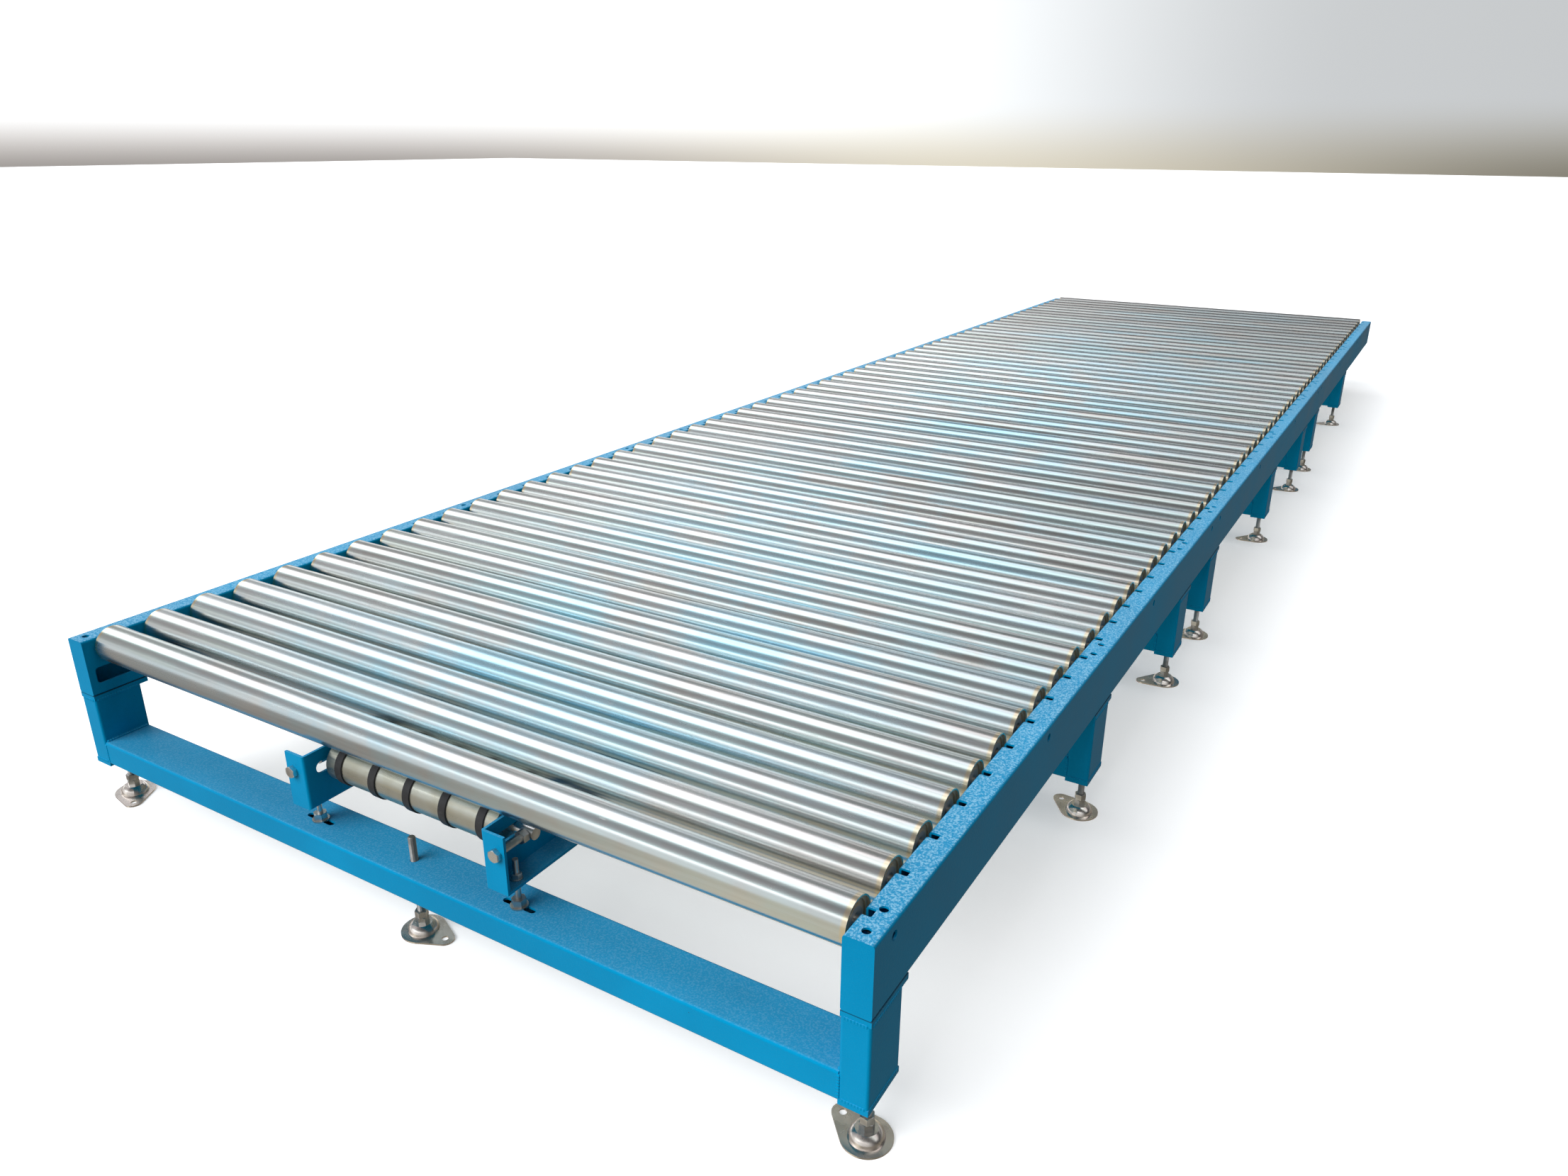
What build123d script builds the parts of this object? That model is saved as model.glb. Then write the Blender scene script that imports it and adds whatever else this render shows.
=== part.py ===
from build123d import *
import os
from math import cos, radians, sin

# Gravity roller conveyor: three bolted 20-roller sections on eight U-shaped legs, with an
# adjustable banded idler roller slung under the first roller.
# +X runs along the conveyor from the idler end, +Y is the left rail, +Z is up, floor at z = 0.
# All sizes are in millimetres.

# Driving dimensions
PITCH = 120.0
ROLLERS_PER_SECTION = 20
SECTIONS = 3
BETWEEN_RAILS = 2016.0
RAIL_WIDTH = 55.0
RAIL_HEIGHT = 142.0
RAIL_WALL = 4.0
BEND_RADIUS = 6.0
TOP_OF_RAIL = 440.0
END_CAP = 9.0

ROLLER_RADIUS = 44.5
ROLLER_WALL = 3.0
ROLLER_LENGTH = 2000.0
AXLE_RADIUS = 10.0
AXLE_DROP = 26.0
AXLE_FLAT_WIDTH = 16.0
AXLE_GRIP = 20.0
END_AXLE_GRIP = 17.0
SLOT_PLAY = 1.0

LEG_STATIONS = (56.5, 1200.0, 2045.0)
LEGS_IN_LAST_SECTION = 2
LEG_DEPTH = 113.0
LEG_WALL = 5.0
LEG_PLATE = 12.0
TOP_PLATE_OVERHANG = 19.0
UNDERSIDE_OF_LEG = 108.0
CROSSBAR_HEIGHT = 60.0
CROSSBAR_BOTTOM = 114.0
CROSSBAR_HOLE_LINE = 52.0

PAD_RADIUS = 46.0
PAD_SHEET = 3.5
DOME_RADIUS = 32.5
DOME_TOP_RADIUS = 20.0
DOME_TOP = 22.0
EAR_RADIUS = 20.0
EAR_REACH = 62.0
EAR_HOLE_RADIUS = 7.0
STUD_RADIUS = 8.0
SIDE_STUD_TOP = 176.0
CENTRE_STUD_TOP = 230.0

IDLER_STATION = 96.0
IDLER_HEIGHT = 316.0
IDLER_LENGTH = 476.0
IDLER_AXLE_RADIUS = 12.5
BAND_RADIUS = 47.5
BAND_WIDTH = 20.0
BAND_SPACING = 100.0
BANDS = 5
BRACKET_FRONT = 8.0
BRACKET_LENGTH = 204.0
BRACKET_WIDTH = 56.0
BRACKET_PLATE = 6.0
BRACKET_BOTTOM = 230.0
BRACKET_TOP = 357.0
BRACKET_FACE = 250.0
BRACKET_BOLT_Y = 286.0
AXLE_WINDOW_START = 36.0
AXLE_WINDOW_END = 132.0
AXLE_WINDOW_HEIGHT = 27.0

# Fasteners: shank radius, width across flats, nut height
M16 = (8.0, 24.0, 14.8)
M12 = (6.0, 19.0, 10.8)
HEAD_HEIGHT = 0.64
CLEARANCE = 0.5
THREAD_PLAY = 0.05
BEARING_WIDTH = 14.0
BEARING_INSET = 5.0
RUNNING_PLAY = 0.08

# Sizes worked out from the driving dimensions
SECTION = PITCH * ROLLERS_PER_SECTION
LENGTH = SECTION * SECTIONS
HALF_LENGTH = LENGTH / 2 + END_CAP
HALF_WIDTH = BETWEEN_RAILS / 2 + RAIL_WIDTH
RAIL_Y = HALF_WIDTH - RAIL_WIDTH / 2
RAIL_BOTTOM = TOP_OF_RAIL - RAIL_HEIGHT
AXLE_HEIGHT = TOP_OF_RAIL - AXLE_DROP
POST_BOTTOM = UNDERSIDE_OF_LEG + LEG_PLATE
POST_TOP = RAIL_BOTTOM - LEG_PLATE
CROSSBAR_TOP = CROSSBAR_BOTTOM + CROSSBAR_HEIGHT
BOLT_OFFSET = 30.0
SIDES = (-1, 1)

os.makedirs("parts", exist_ok=True)


def save(name, shapes):
    """Write one node; a list of shapes becomes a group of separate solids."""
    solids = [solid for shape in shapes for solid in shape.solids()]
    model = solids[0] if len(solids) == 1 else Compound(solids)
    export_step(model, f"parts/{name}.step")


def block(x, y, z):
    """A box from (low, high) pairs along each axis."""
    size = [high - low for low, high in (x, y, z)]
    middle = [(low + high) / 2 for low, high in (x, y, z)]
    return Pos(*middle) * Box(*size)


def rod(radius, start, end, axis):
    """A cylinder between two distances along an axis, centred on that axis."""
    turn = {"x": Rot(0, 90, 0), "y": Rot(-90, 0, 0), "z": Rot(0, 0, 0)}[axis]
    shift = {"x": (1, 0, 0), "y": (0, 1, 0), "z": (0, 0, 1)}[axis]
    middle = (start + end) / 2
    return Pos(*[middle * part for part in shift]) * turn * Cylinder(radius, end - start)


def ring(outer, inner, start, end, axis):
    return rod(outer, start, end, axis) - rod(inner, start, end, axis)


def hexagon(size, height, bored=True):
    """A nut or bolt head standing on z = 0, its corners chamfered at the top."""
    shank, flats, _ = size
    blank = extrude(RegularPolygon(flats / 2, 6, major_radius=False), height)
    corner = flats / 2 / cos(radians(30))
    chamfer = corner - flats / 2 * 0.98
    profile = Polyline((0, 0), (corner, 0), (corner, height - chamfer / 2), (corner - chamfer, height),
                       (0, height), close=True)
    crown = revolve(Plane.XZ * make_face(profile), Axis.Z)
    blank = blank & crown
    if bored:
        blank = blank - rod(shank + THREAD_PLAY, 0, height, "z")
    return blank


def bolt(size, length):
    """A hex bolt with its head above z = 0 and its shank below."""
    shank, flats, _ = size
    head = hexagon(size, 2 * shank * HEAD_HEIGHT, bored=False)
    return head + rod(shank, -length, 0, "z")


def section_stations(section):
    """Distance of each leg's centre from the start of its section's rails."""
    count = LEGS_IN_LAST_SECTION if section == SECTIONS - 1 else len(LEG_STATIONS)
    stations = list(LEG_STATIONS[:count])
    if section == 0:
        stations[0] -= END_CAP
    return stations


def legs():
    """Distance of every leg's centre from the start of the first rail."""
    return [section * SECTION + station
            for section in range(SECTIONS) for station in section_stations(section)]


def from_end(distance):
    """X of a point at this distance from the face of the idler end."""
    return distance - HALF_LENGTH


def along_rail(distance):
    """X of a point at this distance from the start of the first rail."""
    return from_end(END_CAP + distance)


# Rails: folded box sections with drop-in axle slots, hand windows and bolt access holes
WINDOW_LENGTH = 110.0
WINDOW_HEIGHT = 40.0
WINDOW_START = 8.0
WINDOW_MIDDLE = RAIL_BOTTOM + 48.0
WINDOW_CORNER = 8.0
ACCESS_HOLE_RADIUS = 8.0
TIE_HOLE_RADIUS = 9.0
TIE_HOLE_ROLLERS = (0, 6, 13, 19)


def is_end_roller(index):
    return index in (0, ROLLERS_PER_SECTION - 1)


def slot_cutter(index):
    """Clears one axle slot through the top wall and down the roller-side wall."""
    plain = is_end_roller(index)
    width = (2 * AXLE_RADIUS if plain else AXLE_FLAT_WIDTH) + SLOT_PLAY
    depth = (END_AXLE_GRIP if plain else AXLE_GRIP) + 2 * SLOT_PLAY
    outline = RectangleRounded(width, 2 * depth, 3)
    bottom = AXLE_HEIGHT - AXLE_RADIUS
    x = PITCH * (index + 0.5)
    y = -BETWEEN_RAILS / 2
    return Pos(x, y, bottom) * extrude(outline, TOP_OF_RAIL - bottom + 1)


def window_cutter(start):
    outline = RectangleRounded(WINDOW_LENGTH, WINDOW_HEIGHT, WINDOW_CORNER)
    y = -BETWEEN_RAILS / 2
    hole = extrude(Plane.XZ * outline, 2 * RAIL_WALL, both=True)
    return Pos(start + WINDOW_LENGTH / 2, y, WINDOW_MIDDLE) * hole


def right_rail(stations):
    """One rail section starting at x = 0, with leg bolt holes at the stations."""
    middle = Pos(0, -RAIL_Y, RAIL_BOTTOM + RAIL_HEIGHT / 2)
    outside = Plane.YZ * RectangleRounded(RAIL_WIDTH, RAIL_HEIGHT, BEND_RADIUS)
    inside = Plane.YZ * RectangleRounded(
        RAIL_WIDTH - 2 * RAIL_WALL, RAIL_HEIGHT - 2 * RAIL_WALL, BEND_RADIUS - RAIL_WALL)
    rail = middle * extrude(outside - inside, SECTION)
    cutters = [slot_cutter(index) for index in range(ROLLERS_PER_SECTION)]
    starts = [WINDOW_START, SECTION - WINDOW_START - WINDOW_LENGTH]
    starts += [station - WINDOW_LENGTH / 2 for station in stations[1:]]
    cutters += [window_cutter(start) for start in starts]
    for station in stations:
        for offset in (-BOLT_OFFSET, BOLT_OFFSET):
            x = station + offset
            cutters.append(Pos(x, -RAIL_Y, 0) * rod(
                ACCESS_HOLE_RADIUS, TOP_OF_RAIL - 2 * RAIL_WALL, TOP_OF_RAIL + 1, "z"))
            cutters.append(Pos(x, -RAIL_Y, 0) * rod(
                M12[0] + CLEARANCE, RAIL_BOTTOM - 1, RAIL_BOTTOM + 2 * RAIL_WALL, "z"))
    for index in TIE_HOLE_ROLLERS:
        x = PITCH * (index + 0.5)
        cutters.append(Pos(x, 0, AXLE_HEIGHT) * rod(
            TIE_HOLE_RADIUS, -HALF_WIDTH - 1, -HALF_WIDTH + 2 * RAIL_WALL, "y"))
    return rail - cutters


def make_rails():
    for section in range(SECTIONS):
        placed = Pos(along_rail(section * SECTION), 0, 0) * right_rail(section_stations(section))
        save(f"rail_right_{section + 1}", [placed])
        save(f"rail_left_{section + 1}", [mirror(placed, Plane.XZ)])


# Plates inside the rail ends: plain at the free ends, bolted face to face at the two joints
JOINT_PLATE = 6.0
JOINT_BOLT_RISE = 38.0


def end_cap(x, side):
    """A plate over the whole end of a rail, starting at x."""
    blank = extrude(Plane.YZ * RectangleRounded(RAIL_WIDTH, RAIL_HEIGHT, BEND_RADIUS), END_CAP)
    return Pos(x, side * RAIL_Y, RAIL_BOTTOM + RAIL_HEIGHT / 2) * blank


def joint_plate(x, side):
    """A plate that fills the inside of a rail's end, starting at x."""
    blank = extrude(Plane.YZ * RectangleRounded(
        RAIL_WIDTH - 2 * RAIL_WALL, RAIL_HEIGHT - 2 * RAIL_WALL, BEND_RADIUS - RAIL_WALL), JOINT_PLATE)
    return Pos(x, side * RAIL_Y, RAIL_BOTTOM + RAIL_HEIGHT / 2) * blank


def make_rail_joints():
    caps = []
    joint_plates = []
    bolts = []
    nuts = []
    rises = (RAIL_HEIGHT / 2 - JOINT_BOLT_RISE, RAIL_HEIGHT / 2 + JOINT_BOLT_RISE)
    for side in SIDES:
        caps += [end_cap(-HALF_LENGTH, side), end_cap(HALF_LENGTH - END_CAP, side)]
        for seam in range(1, SECTIONS):
            x = along_rail(seam * SECTION)
            centres = [(x, side * RAIL_Y, RAIL_BOTTOM + rise) for rise in rises]
            holes = [Pos(*centre) * rod(M12[0] + CLEARANCE, -2 * JOINT_PLATE, 2 * JOINT_PLATE, "x")
                     for centre in centres]
            joint_plates += [joint_plate(x - JOINT_PLATE, side) - holes, joint_plate(x, side) - holes]
            for centre in centres:
                bolts.append(Pos(*centre) * Pos(-JOINT_PLATE, 0, 0) * Rot(0, -90, 0) * bolt(M12, 32))
                nuts.append(Pos(*centre) * Pos(JOINT_PLATE, 0, 0) * Rot(0, 90, 0) * hexagon(M12, M12[2]))
    save("rail_end_plates", caps)
    save("rail_joint_plates", joint_plates)
    save("rail_joint_bolts", bolts)
    save("rail_joint_nuts", nuts)


# Legs: two box posts and a box crossbar, with a bolted plate on top and a foot plate below
def post_tube():
    outside = RectangleRounded(LEG_DEPTH, RAIL_WIDTH, BEND_RADIUS)
    inside = RectangleRounded(LEG_DEPTH - 2 * LEG_WALL, RAIL_WIDTH - 2 * LEG_WALL, 1)
    return Pos(0, 0, POST_BOTTOM) * extrude(outside - inside, POST_TOP - POST_BOTTOM)


def crossbar_tube():
    outside = Plane.XZ * RectangleRounded(LEG_DEPTH, CROSSBAR_HEIGHT, BEND_RADIUS)
    inside = Plane.XZ * RectangleRounded(
        LEG_DEPTH - 2 * LEG_WALL, CROSSBAR_HEIGHT - 2 * LEG_WALL, 1)
    tube = extrude(outside - inside, BETWEEN_RAILS / 2, both=True)
    stud_hole = Pos(CROSSBAR_HOLE_LINE - LEG_DEPTH / 2, 0, 0) * rod(
        STUD_RADIUS + 1, CROSSBAR_BOTTOM - 1, CROSSBAR_TOP + 1, "z")
    return Pos(0, 0, CROSSBAR_BOTTOM + CROSSBAR_HEIGHT / 2) * tube - stud_hole


BRACKET_SLOT_LENGTH = 80.0


def make_legs():
    post = post_tube()
    crossbar = crossbar_tube()
    half = LEG_DEPTH / 2
    top_plate = block((-half, half + TOP_PLATE_OVERHANG), (-RAIL_WIDTH / 2, RAIL_WIDTH / 2),
                      (POST_TOP, RAIL_BOTTOM))
    top_plate = top_plate - [Pos(x, 0, 0) * rod(M12[0] + CLEARANCE, POST_TOP, RAIL_BOTTOM, "z")
                             for x in (-BOLT_OFFSET, BOLT_OFFSET)]
    foot_plate = block((-half, half), (-RAIL_WIDTH / 2, RAIL_WIDTH / 2), (UNDERSIDE_OF_LEG, POST_BOTTOM))
    foot_plate = foot_plate - rod(STUD_RADIUS + THREAD_PLAY, UNDERSIDE_OF_LEG, POST_BOTTOM, "z")
    leg_bolt = Pos(0, 0, RAIL_BOTTOM + RAIL_WALL) * bolt(M12, 36)
    weld_nut = Pos(0, 0, POST_TOP - M12[2]) * hexagon(M12, M12[2])
    ends = [(along_rail(station), side * RAIL_Y) for station in legs() for side in SIDES]
    bolt_ends = [(x + offset, y) for x, y in ends for offset in (-BOLT_OFFSET, BOLT_OFFSET)]
    save("leg_posts", [Pos(x, y, 0) * post for x, y in ends])
    save("leg_top_plates", [Pos(x, y, 0) * top_plate for x, y in ends])
    save("leg_foot_plates", [Pos(x, y, 0) * foot_plate for x, y in ends])
    save("leg_bolts", [Pos(x, y, 0) * leg_bolt for x, y in bolt_ends])
    save("leg_bolt_nuts", [Pos(x, y, 0) * weld_nut for x, y in bolt_ends])
    crossbars = [Pos(along_rail(station), 0, 0) * crossbar for station in legs()]
    slot = extrude(SlotOverall(BRACKET_SLOT_LENGTH, 2 * M12[0] + 2, rotation=90), 3 * LEG_WALL)
    slots = [Pos(from_end(CROSSBAR_HOLE_LINE), side * BRACKET_BOLT_Y, CROSSBAR_TOP - 2 * LEG_WALL) * slot
             for side in SIDES]
    save("front_crossbar", [crossbars[0] - slots])
    save("crossbars", crossbars[1:])


# Levelling feet: a stamped domed pad with a floor-bolt ear, two nuts and a threaded stud
def foot_pad():
    outline = make_hull(Circle(PAD_RADIUS).edges() + (Pos(EAR_REACH, 0) * Circle(EAR_RADIUS)).edges())
    flange = extrude(outline - Pos(EAR_REACH, 0) * Circle(EAR_HOLE_RADIUS), PAD_SHEET)
    flange = flange - rod(DOME_RADIUS - PAD_SHEET, 0, PAD_SHEET, "z")
    sheet = PAD_SHEET
    with BuildLine() as outside:
        ThreePointArc((DOME_RADIUS, sheet), (DOME_RADIUS * 0.86, DOME_TOP * 0.7), (DOME_TOP_RADIUS, DOME_TOP))
        Line((DOME_TOP_RADIUS, DOME_TOP), (STUD_RADIUS, DOME_TOP))
        Line((STUD_RADIUS, DOME_TOP), (STUD_RADIUS, DOME_TOP - sheet))
        Line((STUD_RADIUS, DOME_TOP - sheet), (DOME_TOP_RADIUS - 1, DOME_TOP - sheet))
        ThreePointArc((DOME_TOP_RADIUS - 1, DOME_TOP - sheet),
                      (DOME_RADIUS * 0.86 - sheet, DOME_TOP * 0.6), (DOME_RADIUS - sheet, 0))
        Line((DOME_RADIUS - sheet, 0), (DOME_RADIUS, 0))
        Line((DOME_RADIUS, 0), (DOME_RADIUS, sheet))
    dome = revolve(Plane.XZ * make_face(outside.line), Axis.Z)
    return flange + dome


def ear_direction(leg, side):
    """Which way a foot's ear points, in degrees from +X."""
    if leg == 0:
        return {-1: 67, 0: -90, 1: -125}[side]
    if leg == 1 and side == -1:
        return 60
    return {-1: 120, 0: 90, 1: -120}[side]


def make_feet():
    pad = foot_pad()
    side_stud = rod(STUD_RADIUS, DOME_TOP - PAD_SHEET, SIDE_STUD_TOP, "z")
    centre_stud = rod(STUD_RADIUS, DOME_TOP - PAD_SHEET, CENTRE_STUD_TOP, "z")
    nut = hexagon(M16, M16[2])
    pads = []
    studs = []
    nuts = []
    thread_nuts = []
    for leg, station in enumerate(legs()):
        for side in (-1, 0, 1):
            centred = side == 0
            shift = CROSSBAR_HOLE_LINE - LEG_DEPTH / 2 if centred else 0
            place = Pos(along_rail(station) + shift, side * RAIL_Y, 0)
            seat = CROSSBAR_BOTTOM + LEG_WALL if centred else POST_BOTTOM
            pads.append(place * Rot(0, 0, ear_direction(leg, side)) * pad)
            studs.append(place * (centre_stud if centred else side_stud))
            nuts += [place * Pos(0, 0, DOME_TOP) * Rot(0, 0, 10) * nut,
                     place * Pos(0, 0, DOME_TOP + M16[2]) * Rot(0, 0, 25) * nut]
            thread_nuts.append(place * Pos(0, 0, seat) * nut)
    save("foot_pads", pads)
    save("foot_studs", studs)
    save("foot_nuts", nuts)
    save("foot_thread_nuts", thread_nuts)


# Rollers: a tube with a bearing housing and a bearing at each end, turning on a fixed axle
def bearing_span():
    """Distances from the roller's middle over which a right-hand bearing lies."""
    outer_end = ROLLER_LENGTH / 2 - BEARING_INSET
    return outer_end - BEARING_WIDTH, outer_end


BEARING_SEAT_RADIUS = 23.5
INNER_RING_RADIUS = 14.0
HOUSING_LIP = 2.0


def bearing_housing(tube_inside, seat, start, end):
    """A pressed cup that fills the tube's end and holds the bearing, with an outer rim."""
    body = ring(tube_inside, seat, start - HOUSING_LIP, end, "y")
    recess = ring(tube_inside - 3 * HOUSING_LIP, seat + 2 * HOUSING_LIP, end - 3, end, "y")
    return body - recess


def roller_shapes():
    start, end = bearing_span()
    tube_inside = ROLLER_RADIUS - ROLLER_WALL
    tube = ring(ROLLER_RADIUS, tube_inside, -ROLLER_LENGTH / 2, ROLLER_LENGTH / 2, "y")
    housing = bearing_housing(tube_inside, BEARING_SEAT_RADIUS, start, end)
    outer_ring = ring(BEARING_SEAT_RADIUS, INNER_RING_RADIUS + RUNNING_PLAY, start, end, "y")
    flip = Rot(0, 0, 180)
    return [tube, housing, flip * housing, outer_ring, flip * outer_ring]


def plain_axle():
    reach = BETWEEN_RAILS / 2 + END_AXLE_GRIP
    return rod(AXLE_RADIUS, -reach, reach, "y")


def flatted_axle():
    """An axle with two flats at each end, which stop it turning in the rail slots."""
    reach = BETWEEN_RAILS / 2 + AXLE_GRIP
    axle = rod(AXLE_RADIUS, -reach, reach, "y")
    flat_start = BETWEEN_RAILS / 2 - 3
    cutters = []
    for side in SIDES:
        y = sorted((side * flat_start, side * (reach + 1)))
        for edge in SIDES:
            x = sorted((edge * AXLE_FLAT_WIDTH / 2, edge * 2 * AXLE_RADIUS))
            cutters.append(block(x, y, (-2 * AXLE_RADIUS, 2 * AXLE_RADIUS)))
    return axle - cutters


def make_rollers():
    parts = roller_shapes()
    start, end = bearing_span()
    inner_ring = ring(INNER_RING_RADIUS, AXLE_RADIUS, start, end, "y")
    plain = plain_axle()
    flatted = flatted_axle()
    plain_axles = []
    flatted_axles = []
    inner_rings = []
    for section in range(SECTIONS):
        group = []
        for index in range(ROLLERS_PER_SECTION):
            place = Pos(along_rail(section * SECTION + PITCH * (index + 0.5)), 0, AXLE_HEIGHT)
            roller = [place * part for part in parts]
            inner_rings += [place * inner_ring, place * Rot(0, 0, 180) * inner_ring]
            if is_end_roller(index):
                plain_axles.append(place * plain)
            else:
                flatted_axles.append(place * flatted)
            if section == 0:
                save(f"roller_{index + 1:02d}", roller)
            else:
                group += roller
        if group:
            save(f"section_{section + 1}_rollers", group)
    save("roller_axles", flatted_axles)
    save("end_roller_axles", plain_axles)
    save("bearing_inner_rings", inner_rings)


# Idler: a short banded roller on a sliding axle between two brackets on the front crossbar
def bracket():
    """The left bracket: a folded plate with a web, a front flange and a bottom flange."""
    outer_y = BRACKET_FACE + BRACKET_WIDTH
    front = from_end(BRACKET_FRONT)
    back = front + BRACKET_LENGTH
    blank = block((front, back), (BRACKET_FACE, outer_y), (BRACKET_BOTTOM, BRACKET_TOP))
    folds = [edge for edge in blank.edges().filter_by(Axis.Z)
             if edge.center().X < front + 1 and edge.center().Y < BRACKET_FACE + 1]
    folds += [edge for edge in blank.edges().filter_by(Axis.X)
              if edge.center().Z < BRACKET_BOTTOM + 1 and edge.center().Y < BRACKET_FACE + 1]
    blank = fillet(folds, BEND_RADIUS)
    hollow = block((front + BRACKET_PLATE, back + 1), (BRACKET_FACE + BRACKET_PLATE, outer_y + 1),
                   (BRACKET_BOTTOM + BRACKET_PLATE, BRACKET_TOP + 1))
    window = SlotOverall(AXLE_WINDOW_END - AXLE_WINDOW_START, AXLE_WINDOW_HEIGHT)
    window = extrude(Plane.XZ * window, 2 * BRACKET_PLATE, both=True)
    middle = from_end((AXLE_WINDOW_START + AXLE_WINDOW_END) / 2)
    window = Pos(middle, BRACKET_FACE, IDLER_HEIGHT) * window
    bolt_hole = Pos(front, BRACKET_BOLT_Y, IDLER_HEIGHT) * rod(
        M16[0] + CLEARANCE, -1, 2 * BRACKET_PLATE, "x")
    stud_hole = Pos(from_end(CROSSBAR_HOLE_LINE), BRACKET_BOLT_Y, BRACKET_BOTTOM) * rod(
        M12[0] + CLEARANCE, -1, 2 * BRACKET_PLATE, "z")
    return blank - [hollow, window, bolt_hole, stud_hole]


FLANGE_NUT_HEIGHT = 18.0
FLANGE_NUT_FLATS = 26.0
FLANGE_NUT_FLANGE = 18.0
FLANGE_THICKNESS = 3.0
BRACKET_STUD_TOP = 280.0
WASHER_RADIUS = 12.0
WASHER_THICKNESS = 2.5


def make_brackets():
    left = bracket()
    save("idler_bracket_left", [left])
    save("idler_bracket_right", [mirror(left, Plane.XZ)])
    stud_size = (M12[0], FLANGE_NUT_FLATS, FLANGE_NUT_HEIGHT)
    bore = rod(M12[0] + THREAD_PLAY, 0, FLANGE_NUT_HEIGHT, "z")
    flange_nut = hexagon(stud_size, FLANGE_NUT_HEIGHT) + (rod(FLANGE_NUT_FLANGE, 0, FLANGE_THICKNESS, "z") - bore)
    washer = ring(WASHER_RADIUS, M12[0] + THREAD_PLAY, 0, WASHER_THICKNESS, "z")
    head_seat = CROSSBAR_TOP - LEG_WALL
    stud = Pos(0, 0, head_seat) * Rot(180, 0, 0) * bolt(M12, BRACKET_STUD_TOP - head_seat)
    nut = hexagon(M12, M12[2])
    places = [Pos(from_end(CROSSBAR_HOLE_LINE), side * BRACKET_BOLT_Y, 0) for side in SIDES]
    plate_top = BRACKET_BOTTOM + BRACKET_PLATE
    save("bracket_studs", [place * stud for place in places])
    save("bracket_flange_nuts", [place * Pos(0, 0, CROSSBAR_TOP) * flange_nut for place in places])
    save("bracket_washers", [place * Pos(0, 0, plate_top) * washer for place in places])
    save("bracket_nuts", [place * Pos(0, 0, z) * nut for place in places
                          for z in (BRACKET_BOTTOM - M12[2], plate_top + WASHER_THICKNESS)])


ADJUSTING_BOLT_LENGTH = 132.0
LOCK_NUT_GAP = 0.5


def make_idler():
    centre = Pos(from_end(IDLER_STATION), 0, IDLER_HEIGHT)
    axle_reach = BRACKET_BOLT_Y + 2 * M16[0]
    axle = rod(IDLER_AXLE_RADIUS, -axle_reach, axle_reach, "y")
    axle = axle - [Pos(0, side * BRACKET_BOLT_Y, 0) * rod(M16[0] + RUNNING_PLAY, -20, 20, "x")
                   for side in SIDES]
    save("idler_axle", [centre * axle])
    bolt_front = from_end(BRACKET_FRONT)
    turned = Rot(0, -90, 0) * bolt(M16, ADJUSTING_BOLT_LENGTH)
    save("adjusting_bolts", [Pos(bolt_front, side * BRACKET_BOLT_Y, IDLER_HEIGHT) * turned
                             for side in SIDES])
    nut_size = (M16[0] + RUNNING_PLAY, M16[1], M16[2])
    lock_nut = Rot(0, -90, 0) * hexagon(nut_size, M16[2])
    nut_x = -IDLER_AXLE_RADIUS - LOCK_NUT_GAP
    save("axle_lock_nuts", [centre * Pos(nut_x, side * BRACKET_BOLT_Y, 0) * lock_nut for side in SIDES])

    tube_inside = ROLLER_RADIUS - ROLLER_WALL
    half = IDLER_LENGTH / 2
    end = half - BEARING_INSET
    start = end - BEARING_WIDTH
    ring_radius = IDLER_AXLE_RADIUS + 4
    flip = Rot(0, 0, 180)
    housing = bearing_housing(tube_inside, ring_radius + RUNNING_PLAY, start, end)
    inner_ring = ring(ring_radius, IDLER_AXLE_RADIUS, start, end, "y")
    save("idler_tube", [centre * ring(ROLLER_RADIUS, tube_inside, -half, half, "y")])
    save("idler_bearing_housings", [centre * housing, centre * flip * housing])
    save("idler_inner_rings", [centre * inner_ring, centre * flip * inner_ring])
    bands = []
    for index in range(BANDS):
        middle = BAND_SPACING * (index - (BANDS - 1) / 2)
        bands.append(centre * ring(BAND_RADIUS, ROLLER_RADIUS, middle - BAND_WIDTH / 2,
                                   middle + BAND_WIDTH / 2, "y"))
    save("idler_bands", bands)


make_rails()
make_rail_joints()
make_legs()
make_feet()
make_rollers()
make_brackets()
make_idler()
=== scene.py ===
import math

import bmesh
import bpy
from mathutils import Matrix, Vector


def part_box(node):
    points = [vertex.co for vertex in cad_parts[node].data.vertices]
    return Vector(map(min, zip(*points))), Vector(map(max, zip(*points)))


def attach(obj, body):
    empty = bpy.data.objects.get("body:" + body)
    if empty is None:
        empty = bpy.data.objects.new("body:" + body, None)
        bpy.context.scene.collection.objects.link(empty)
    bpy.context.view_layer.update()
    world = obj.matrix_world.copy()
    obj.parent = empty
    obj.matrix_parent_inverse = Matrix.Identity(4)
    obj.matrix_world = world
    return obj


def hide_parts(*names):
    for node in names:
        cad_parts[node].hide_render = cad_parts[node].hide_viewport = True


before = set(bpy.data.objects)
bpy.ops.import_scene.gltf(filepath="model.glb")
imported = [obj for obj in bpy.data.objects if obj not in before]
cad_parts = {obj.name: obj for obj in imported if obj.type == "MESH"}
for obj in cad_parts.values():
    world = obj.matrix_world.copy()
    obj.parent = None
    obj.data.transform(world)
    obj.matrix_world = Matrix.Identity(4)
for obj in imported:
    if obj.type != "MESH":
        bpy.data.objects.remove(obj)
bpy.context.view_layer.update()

bl_info = {
    "name": "Gravity Roller Conveyor",
    "version": (1, 0, 0),
    "blender": (4, 5, 0),
    "location": "3D Viewport > Sidebar > Conveyor",
    "description": "Finishes, welds, threads and a studio for a gravity roller conveyor",
    "category": "Object",
}

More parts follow.
